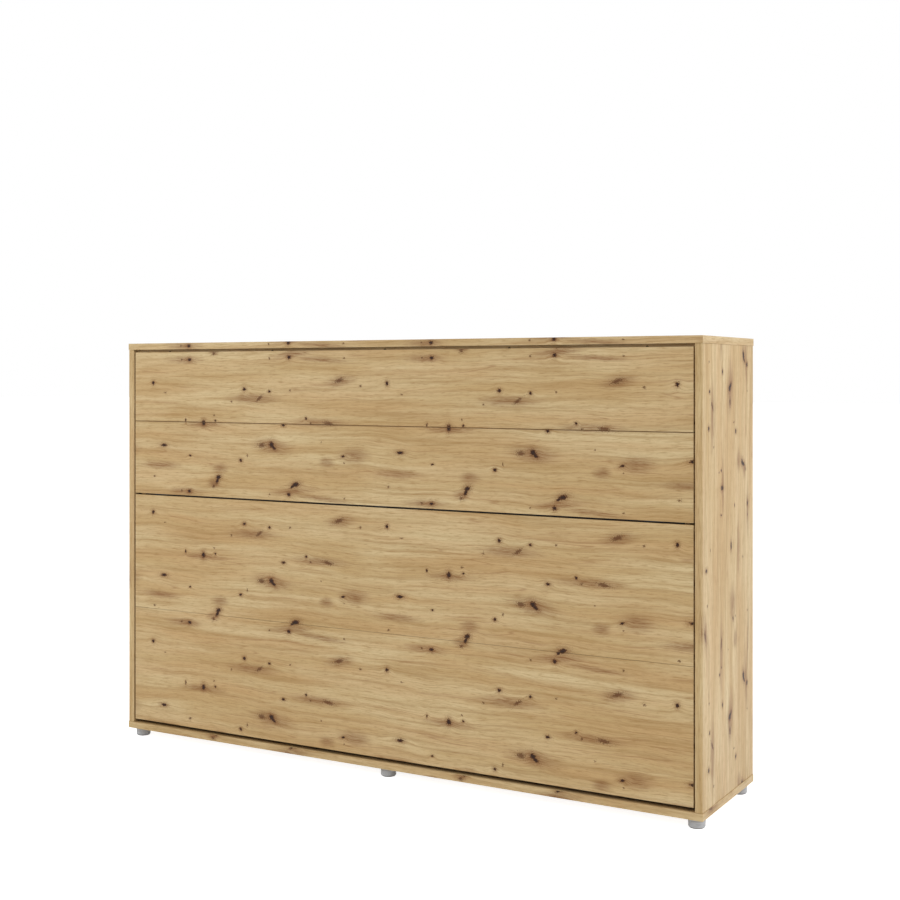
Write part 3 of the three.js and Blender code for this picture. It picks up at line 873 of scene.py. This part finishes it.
def slat_caps(material):
    """Plastic caps on both ends of each slat."""
    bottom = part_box("bed_lower_board")[1][2] + 0.4 * MM
    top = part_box("bed_upper_board")[0][2] - 0.4 * MM
    air = 0.1 * MM
    for node in nodes_named("slat_"):
        low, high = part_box(node)
        shape = bmesh.new()
        near, far = low[1] + air, high[1] - air
        rounded_block(shape, (low[0], near, bottom), (high[0], far, low[2] - air), 1.2 * MM)
        rounded_block(shape, (low[0], near, high[2] + air), (high[0], far, top), 1.2 * MM)
        piece(f"{node}_end_caps", shape, material, "bed_frame")


def frame_fixings(zinc):
    """Screws that hold the front panels, seen from inside on the slat frame's tubes."""
    slats = sorted((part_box(node) for node in nodes_named("slat_")), key=lambda box: box[0][0])
    gaps = [(slat[1][0] + following[0][0]) / 2 for slat, following in zip(slats, slats[1:])]
    for tube in ("lower", "middle", "hinge", "upper"):
        node = f"frame_tube_{tube}"
        places = [(x, ends(node, 1)[1], middle_of(node, 2)) for x in gaps[::2]]
        screws(f"{node}_screws", places, (0, 1, 0), "bed_frame", zinc, 5 * MM, 1.2 * MM)


# ---- mattress

QUILT_CELLS = (120, 72)  # grid cells along and across the sleeping side
QUILT_STEP = 8  # cells between quilting lines
BORDER_ROWS = 24  # rows of cells up the border, with a seam at each third
BORDER_ROLL = 2.4 * MM  # how far the border's rolls stand out
CORNER = 45 * MM
SIDE_ROOM = 6 * MM  # the unfilled cover is smaller than the mattress by this much
TOP_ROOM = 9 * MM
UNDER_ROOM = 0.5 * MM
CROWN = 6 * MM  # how much lower the sleeping side is at its edge
CROWN_WIDTH = 0.05
STITCH_DEPTH = 4 * MM
FILL_STEPS = 20
FILL_PRESSURE = 4
FILL_RISE = 7 * MM  # how far the filling may lift a point
FILL_SINK = 1 * MM
FILL_SPREAD = 2.4 * MM  # how far it may move a point sideways
PIPING_RADIUS = 3 * MM
STRAP_THICKNESS = 1.7 * MM
STRAP_SINK = 5.5 * MM  # how far the straps press into the mattress
STRAP_HOLLOW = 0.04  # width of the soft hollow beside a strap


def crown_fall(edge):
    """How far down its crown the sleeping side is, from 0 to 1, at a distance from its edge."""
    return max(0.0, 1 - edge / CROWN_WIDTH) ** 2


def cover_grid(shape, middle, half_x, half_z, y, drop):
    """A rectangle of vertices with round corners, whose edge falls away by drop."""
    columns, rows = QUILT_CELLS
    grid = {}
    for i in range(columns + 1):
        for j in range(rows + 1):
            x = half_x * (2 * i / columns - 1)
            z = half_z * (2 * j / rows - 1)
            edge = min(half_x - abs(x), half_z - abs(z))
            fall = drop * crown_fall(edge)
            out_x = max(0.0, (abs(x) - half_x + CORNER) / CORNER)
            out_z = max(0.0, (abs(z) - half_z + CORNER) / CORNER)
            if out_x > 0 and out_z > 0:
                round_x = CORNER * out_x * math.sqrt(1 - out_z**2 / 2)
                round_z = CORNER * out_z * math.sqrt(1 - out_x**2 / 2)
                x = math.copysign(half_x - CORNER + round_x, x)
                z = math.copysign(half_z - CORNER + round_z, z)
            grid[i, j] = shape.verts.new((middle.x + x, y - fall, middle.z + z))
    return grid


def outline_keys():
    """The grid's keys round its edge."""
    columns, rows = QUILT_CELLS
    keys = [(i, 0) for i in range(columns)] + [(columns, j) for j in range(rows)]
    keys += [(i, rows) for i in range(columns, 0, -1)] + [(0, j) for j in range(rows, 0, -1)]
    return keys


def outward(place, middle, half_x, half_z):
    """Which way the border faces at a place on the outline."""
    inner_x = max(-half_x + CORNER, min(half_x - CORNER, place.x - middle.x))
    inner_z = max(-half_z + CORNER, min(half_z - CORNER, place.z - middle.z))
    return Vector((place.x - middle.x - inner_x, 0, place.z - middle.z - inner_z)).normalized()


def quilted_faces(shape, top, under):
    """Both large sides: the sleeping side's triangles follow the diagonal quilting lines."""
    columns, rows = QUILT_CELLS
    for i in range(columns):
        for j in range(rows):
            corners = [top[i, j], top[i + 1, j], top[i + 1, j + 1], top[i, j + 1]]
            if (i + j + 1) % QUILT_STEP == 0:
                corners = corners[1:] + corners[:1]
            shape.faces.new((corners[0], corners[1], corners[2]))
            shape.faces.new((corners[0], corners[2], corners[3]))
            shape.faces.new((under[i, j], under[i, j + 1], under[i + 1, j + 1], under[i + 1, j]))


def border_faces(shape, top, under, middle, half_x, half_z):
    """The border: three soft rolls with two seams.  Returns the vertices on the seams."""
    keys = outline_keys()
    rings = [[under[key] for key in keys]]
    for row in range(1, BORDER_ROWS):
        share = row / BORDER_ROWS
        roll = abs(math.sin(3 * math.pi * share)) ** 0.6
        ring = []
        for key in keys:
            base = under[key].co.lerp(top[key].co, share)
            out = outward(base, middle, half_x, half_z)
            ring.append(shape.verts.new(base + out * BORDER_ROLL * roll))
        rings.append(ring)
    rings.append([top[key] for key in keys])
    for row, (lower, upper) in enumerate(zip(rings, rings[1:])):
        for k in range(len(keys)):
            n = (k + 1) % len(keys)
            face = shape.faces.new((lower[k], lower[n], upper[n], upper[k]))
            face.material_index = 1 if BORDER_ROWS <= 3 * row < 2 * BORDER_ROWS else 0
    return rings[BORDER_ROWS // 3] + rings[2 * BORDER_ROWS // 3]


def fill(thing, pins):
    """Blows the cover up with cloth simulation, held at the pins, and caps how far it moves."""
    held = thing.vertex_groups.new(name="held")
    held.add(pins, 1.0, "REPLACE")
    before = [vertex.co.copy() for vertex in thing.data.vertices]
    cloth = thing.modifiers.new("filling", "CLOTH")
    cloth.settings.vertex_group_mass = held.name
    cloth.settings.use_pressure = True
    cloth.settings.uniform_pressure_force = FILL_PRESSURE
    cloth.settings.shrink_min = -0.02
    cloth.settings.effector_weights.gravity = 0
    cloth.point_cache.frame_end = FILL_STEPS
    scene = bpy.context.scene
    for step in range(1, FILL_STEPS + 1):
        scene.frame_set(step)
    filled = thing.evaluated_get(bpy.context.evaluated_depsgraph_get())
    after = [vertex.co.copy() for vertex in filled.data.vertices]
    thing.modifiers.remove(cloth)
    thing.vertex_groups.remove(held)
    for vertex, old, moved in zip(thing.data.vertices, before, after):
        move = moved - old
        flat = Vector((move.x, 0, move.z))
        if flat.length > FILL_SPREAD:
            flat *= FILL_SPREAD / flat.length
        rise = max(-FILL_SINK, min(FILL_RISE, move.y))
        vertex.co = old + flat + Vector((0, rise, 0))
    scene.frame_set(1)


def press_under_straps(thing, middle, half_z):
    """Keeps the sleeping side below the straps, with a soft hollow beside them."""
    for node in ("left_strap", "right_strap"):
        low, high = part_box(node)
        strap_x = (low[0] + high[0]) / 2
        for vertex in thing.data.vertices:
            away = abs(vertex.co.x - strap_x) - (high[0] - low[0]) / 2
            if away > STRAP_HOLLOW or vertex.co.y < middle.y:
                continue
            fall = CROWN * crown_fall(half_z - abs(vertex.co.z - middle.z))
            ease = max(0.0, away / STRAP_HOLLOW)
            limit = strap_level(node) - 0.5 * MM - fall + STRAP_SINK * ease * ease * (3 - 2 * ease)
            vertex.co.y = min(vertex.co.y, limit)


def closed_tube(shape, points, radius, segments=10):
    """Adds a cord that runs round a level outline."""
    rings = []
    for k, point in enumerate(points):
        along = (points[(k + 1) % len(points)] - points[k - 1]).normalized()
        side = along.cross(Vector((0, 1, 0)))
        spots = (polar(radius, i, segments) for i in range(segments))
        ring = [point + side * out + Vector((0, up, 0)) for out, up in spots]
        rings.append([shape.verts.new(spot) for spot in ring])
    loft(shape, rings + rings[:1])


def mattress(cover, band, cord):
    """The quilted cover, filled and pressed in under the straps, with its border and piping."""
    low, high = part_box("mattress")
    middle = (Vector(low) + Vector(high)) / 2
    half_x = (high[0] - low[0]) / 2 - SIDE_ROOM
    half_z = (high[2] - low[2]) / 2 - SIDE_ROOM
    shape = bmesh.new()
    top = cover_grid(shape, middle, half_x, half_z, high[1] - TOP_ROOM, CROWN)
    under = cover_grid(shape, middle, half_x, half_z, low[1] + UNDER_ROOM, -CROWN)
    quilted_faces(shape, top, under)
    seams = border_faces(shape, top, under, middle, half_x, half_z)
    shape.verts.index_update()

    lines = [top[i, j] for i, j in top if (i + j) % QUILT_STEP == 0 or (i - j) % QUILT_STEP == 0]
    outline = [top[key] for key in outline_keys()]
    pins = [vertex.index for vertex in lines + outline + seams + list(under.values())]
    edges = [[grid[key].co.copy() for key in outline_keys()] for grid in (top, under)]
    for line in lines:
        line.co.y -= STITCH_DEPTH

    thing = piece("mattress_cover", shape, cover, "bed_frame", 180)
    thing.data.materials.append(band)
    fill(thing, pins)
    press_under_straps(thing, middle, half_z)
    thing.modifiers.new("smooth", "SUBSURF").levels = 1
    thing.modifiers["smooth"].render_levels = 1
    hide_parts("mattress")

    shape = bmesh.new()
    for edge in edges:
        points = [point + outward(point, middle, half_x, half_z) * 1 * MM for point in edge]
        closed_tube(shape, points, PIPING_RADIUS)
    piece("mattress_piping", shape, cord, "bed_frame")


# A strap's or handle's cross section: places across it with heights, as shares of its thickness.
SELVEDGE = 1.5 * MM
WEAVE_EDGE = 0.3 * MM
WEAVE_HEIGHTS = (0.5, 0.9, 1.0, 0.82, 1.0, 0.9, 0.5)


def ribbon(shape, path, across, width, thickness):
    """Adds a flat band along (point, outward direction) pairs; its width lies along across."""
    half = width / 2
    edges = (half, half - WEAVE_EDGE, half - SELVEDGE)
    section = list(zip([-edge for edge in edges] + [0] + list(reversed(edges)), WEAVE_HEIGHTS))
    section += [(place, 1 - height) for place, height in reversed(section)][1:-1]
    rings = []
    for point, out in path:
        ring = [point + across * place + out * thickness * height for place, height in section]
        rings.append([shape.verts.new(corner) for corner in ring])
    loft(shape, rings)
    shape.faces.new(rings[0])
    shape.faces.new(reversed(rings[-1]))


def strap_level(node):
    """The height of a strap's underside where it presses into the middle of the mattress."""
    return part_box(node)[1][1] - STRAP_THICKNESS - STRAP_SINK


def strap_path(node):
    """Up one side of the mattress, over its crown and down the other side, with round corners."""
    low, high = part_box(node)
    x = (low[0] + high[0]) / 2
    bend = 14 * MM
    y_edge = strap_level(node) - CROWN
    half = (high[2] - low[2]) / 2 - STRAP_THICKNESS
    points = [(low[1] + (y_edge - bend - low[1]) * k / 8, half) for k in range(8)]
    for k in range(10):
        turn = 0.5 * math.pi * k / 10
        points.append((y_edge - bend + bend * math.sin(turn), half - bend + bend * math.cos(turn)))
    for k in range(10):
        edge = CROWN_WIDTH * k / 10
        points.append((strap_level(node) - CROWN * crown_fall(edge), half - bend - edge))
    flat = half - bend - CROWN_WIDTH
    points += [(strap_level(node), flat * (1 - k / 12)) for k in range(13)]
    middle = (low[2] + high[2]) / 2
    line = [Vector((x, y, middle - z)) for y, z in points]
    line += [Vector((x, y, middle + z)) for y, z in reversed(points[:-1])]
    path = []
    for k, point in enumerate(line):
        run = (line[min(k + 1, len(line) - 1)] - line[max(k - 1, 0)]).normalized()
        path.append((point, Vector((0, run.z, -run.y))))
    return path


BUCKLE_OFFSET = -0.18  # the buckle's place along its strap, from the middle
DOUBLED = ((-0.105, -0.0245), (0.0395, 0.12))  # the doubled ends, from the buckle's own zero
# The buckle's blocks in millimetres: two corners (across, along, up) and the rounding.
BUCKLE = [
    ((-28, -2, 0), (28, 39, 10), 2.4), ((-28, -24, 0), (28, -10, 10), 2.4),
    ((-25, -9.8, 2.5), (-17, -2.2, 8.0), 1.2), ((17, -9.8, 2.5), (25, -2.2, 8.0), 1.2),
    ((-3.5, -9.8, 3.0), (3.5, -2.2, 7.5), 1.0), ((-22, 10, 10.2), (22, 32, 11.4), 0.5),
]


def strap(label, fabric, black, thread):
    """One webbing strap over the mattress, with its buckle and its doubled, stitched ends."""
    node = f"{label}_strap"
    thickness = STRAP_THICKNESS
    low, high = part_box(node)
    x = (low[0] + high[0]) / 2
    width = high[0] - low[0]
    shape = bmesh.new()
    ribbon(shape, strap_path(node), Vector((1, 0, 0)), width, thickness)
    band = piece(f"{label}_strap_webbing", shape, fabric, "bed_frame", 50)
    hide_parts(node)

    middle = (low[2] + high[2]) / 2 + BUCKLE_OFFSET
    face = strap_level(node) + thickness + 0.1 * MM
    shape, seams = bmesh.new(), bmesh.new()
    for start, end in DOUBLED:
        line = [middle + start + (end - start) * k / 8 for k in range(9)]
        path = [(Vector((x, face, z)), Vector((0, 1, 0))) for z in line]
        ribbon(shape, path, Vector((1, 0, 0)), width - 1 * MM, thickness)
        box_stitch(seams, x, face + thickness, middle + (start + end) / 2, width * 0.36, 0.018)
    piece(f"{label}_strap_doubled_ends", shape, fabric, "bed_frame", 50)
    piece(f"{label}_strap_stitches", seams, thread, "bed_frame", 50)

    shape = bmesh.new()
    base = face + 0.1 * MM
    for *corners, round_off in BUCKLE:
        near, far = [
            (x + across * MM, base + up * MM, middle + along * MM) for across, along, up in corners
        ]
        rounded_block(shape, near, far, round_off * MM, 4)
    piece(f"{label}_strap_buckle", shape, black, "bed_frame", 40)


def box_stitch(shape, x, y, z, half_x, half_z):
    """Adds the threads of a stitched box with a cross in it."""
    corners = [(-half_x, -half_z), (half_x, -half_z), (half_x, half_z), (-half_x, half_z)]
    runs = list(zip(corners, corners[1:] + corners[:1]))
    runs += [(corners[0], corners[2]), (corners[1], corners[3])]
    for (x_start, z_start), (x_end, z_end) in runs:
        run = Vector((x_end - x_start, 0, z_end - z_start))
        count = round(run.length / (3 * MM))
        for k in range(count):
            centre = Vector((x + x_start, y, z + z_start)) + run * (k + 0.5) / count
            thread = bmesh.new()
            matrix = facing(centre, run) @ Matrix.Diagonal((0.35 * MM, 0.35 * MM, 1.1 * MM, 1))
            bmesh.ops.create_icosphere(thread, subdivisions=1, radius=1, matrix=matrix)
            merge(shape, thread)


HANDLE_LENGTH = 0.17
HANDLE_BOW = 2.2 * MM
HANDLE_POINTS = 24


def mattress_handles(fabric):
    """Two carrying handles sewn to each long side of the mattress."""
    low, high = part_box("mattress")
    shape = bmesh.new()
    for x in (-0.28, 0.28):
        for side, edge in ((-1, low[2]), (1, high[2])):
            path = []
            for k in range(HANDLE_POINTS + 1):
                share = k / HANDLE_POINTS
                bow = HANDLE_BOW * math.sin(math.pi * share)
                along = x + HANDLE_LENGTH * (share - 0.5)
                place = Vector((along, high[1] - 0.042, edge + side * (0.1 * MM + bow)))
                path.append((place, Vector((0, 0, side))))
            ribbon(shape, path, Vector((0, 1, 0)), 28 * MM, 1.2 * MM)
    piece("mattress_handles", shape, fabric, "bed_frame", 50)


# ---- CAD nodes


def paint(material, *names):
    """Gives CAD nodes a material in place of their own."""
    for name in names:
        mesh = frame["nodes"][name].data
        mesh.materials.clear()
        mesh.materials.append(material)


def soften(width, *names, segments=3):
    """Rounds the edges of CAD boards."""
    for name in names:
        bevel = frame["nodes"][name].modifiers.new("edge", "BEVEL")
        bevel.width = width
        bevel.segments = segments
        bevel.limit_method = "ANGLE"
        bevel.harden_normals = True


RAILS = ("upper_back_rail", "lower_back_rail", "top_stop_strip")
FRONTS = ("front_top_strip", "front_middle_panel", "front_bottom_panel", "leg_panel")
# Oak material, which way its grain runs, where its print starts, and its boards.
OAK_BOARDS = (
    ("oak_front", "X", (1.036, 1.3645), FRONTS),
    ("oak_boards", "X", (1.036, 1.412), ("top_panel", "bottom_panel", *RAILS)),
    ("oak_sides", "Z", (0.324, 0.306), ("left_side_panel", "right_side_panel")),
    ("oak_bed", "X", (0.4, 1.5), ("bed_lower_board", "bed_upper_board")),
    ("oak_bed_ends", "Z", (0.1, 0.2), ("bed_left_board", "bed_right_board")),
)


def dress_boards():
    """Oak on every board, each kind with its own place in the print."""
    for name, grain, start, boards in OAK_BOARDS:
        paint(oak(name, grain, start), *boards)
        for board in boards:
            soften((0.5 if board in RAILS else 0.6) * MM, board)


def dress_the_rest(zinc, bronze, black, grey):
    """Materials and edges for the CAD nodes that are not oak."""
    slats, tubes = nodes_named("slat_"), nodes_named("frame_tube_")
    paint(birch(), *slats)
    soften(1.5 * MM, *slats)
    paint(hardboard(), "back_panel_left", "back_panel_right")
    soften(0.3 * MM, "back_panel_left", "back_panel_right", segments=2)
    paint(grey, "back_joint_profile")
    paint(black, *tubes)
    soften(1.6 * MM, *tubes)
    for label, _ in SIDES:
        parts = ("wall_bracket", "pivot_plate", "strut_bracket", "pivot_socket")
        plates = [f"{label}_{part}" for part in parts]
        paint(zinc, *plates)
        soften(0.4 * MM, *plates, segments=2)
    paint(bronze, "leg_hinge_upper_leaf", "leg_hinge_lower_leaf")


# ---- lights and floor

AMBIENT = 0.62  # strength of the white surroundings for all that is not seen directly
FLOOR_GLOW = 0.88  # keeps the floor white where the camera sees it


def area_light(name, place, target, size, power):
    data = bpy.data.lights.new(name, "AREA")
    data.shape = "RECTANGLE"
    data.size, data.size_y = size
    data.energy = power
    lamp = bpy.data.objects.new(name, data)
    lamp.location = place
    direction = Vector(target) - Vector(place)
    lamp.rotation_euler = direction.to_track_quat("-Z", "Y").to_euler()
    bpy.context.collection.objects.link(lamp)


def lights():
    """A large key lamp from the left, a fill on the right side panel and a lamp above."""
    area_light("key", (-3.1, -3.3, 2.9), (-0.3, 0, 0.7), (2.8, 2.2), 62)
    area_light("side_fill", (4.2, -0.5, 2.6), (1, 0, 0.8), (2.4, 2.4), 65)
    area_light("top", (0.3, -0.8, 4.6), (0.3, 0, 0), (4, 3), 42)


def world():
    """White surroundings, dimmer where they only light the scene."""
    bpy.context.scene.world = bpy.data.worlds.new("studio")
    studio = bpy.context.scene.world
    studio.use_nodes = True
    nodes = Nodes(studio.node_tree)
    background = studio.node_tree.nodes["Background"].inputs
    nodes.put(background["Color"], (1, 1, 1, 1))
    nodes.put(background["Strength"], nodes.choose(nodes.seen_directly(), AMBIENT, 1.0))


def floor():
    """A wide white floor just under the feet."""
    mesh = bpy.data.meshes.new("floor")
    size = 60
    corners = [(-size, -size, 0), (size, -size, 0), (size, size, 0), (-size, size, 0)]
    mesh.from_pydata(corners, [], [(0, 1, 2, 3)])
    ground = bpy.data.objects.new("floor", mesh)
    ground.location = (0, 0, -0.5 * MM)
    bpy.context.collection.objects.link(ground)
    mat = Shader("floor")
    glow = mat.times(mat.seen_directly(), FLOOR_GLOW)
    mat.set(color=(0.86, 0.86, 0.86, 1), roughness=0.9, specular=0.2)
    mat.set(glow_color=(1, 1, 1, 1), glow=glow)
    mesh.materials.append(mat.material)


# ---- build

bpy.context.scene.view_settings.view_transform = "Standard"
make_camera()
dress_boards()
zinc = metal("zinc", (196, 199, 203), 0.34)
bronze = metal("bronze", (92, 68, 44), 0.42)
chrome = metal("chrome", (214, 216, 219), 0.1, brushed=(8, 8, 8), wear=0.06)
black = powder_coat("tube_paint", (17, 17, 18))
strut_paint = powder_coat("strut_paint", (34, 35, 37))
grey = plastic("grey_plastic", (178, 179, 181), 0.42)
sand = plastic("sand_plastic", (196, 172, 132), 0.45)
rubber = plastic("black_plastic", (34, 34, 36), 0.5)
thread = plastic("thread", (150, 152, 158), 0.7)
strap_fabric = webbing()
brown_felt = felt()
dress_the_rest(zinc, bronze, black, grey)
feet(grey, brown_felt)
leg_hinge(bronze)
leg_glides(rubber)
leg_catches(rubber, zinc)
for label, side in SIDES:
    pivot_hardware(label, side, zinc, sand)
    strut(label, side, strut_paint, chrome, rubber, zinc)
    strut_bracket_screws(label, side, zinc)
    strap(label, strap_fabric, rubber, thread)
cam_covers(sand)
stop_pads(brown_felt)
back_fixings(zinc)
slat_caps(rubber)
frame_fixings(zinc)
mattress(ticking(), side_band(), plastic("piping", (186, 188, 192), 0.75))
mattress_handles(strap_fabric)
world()
lights()
floor()
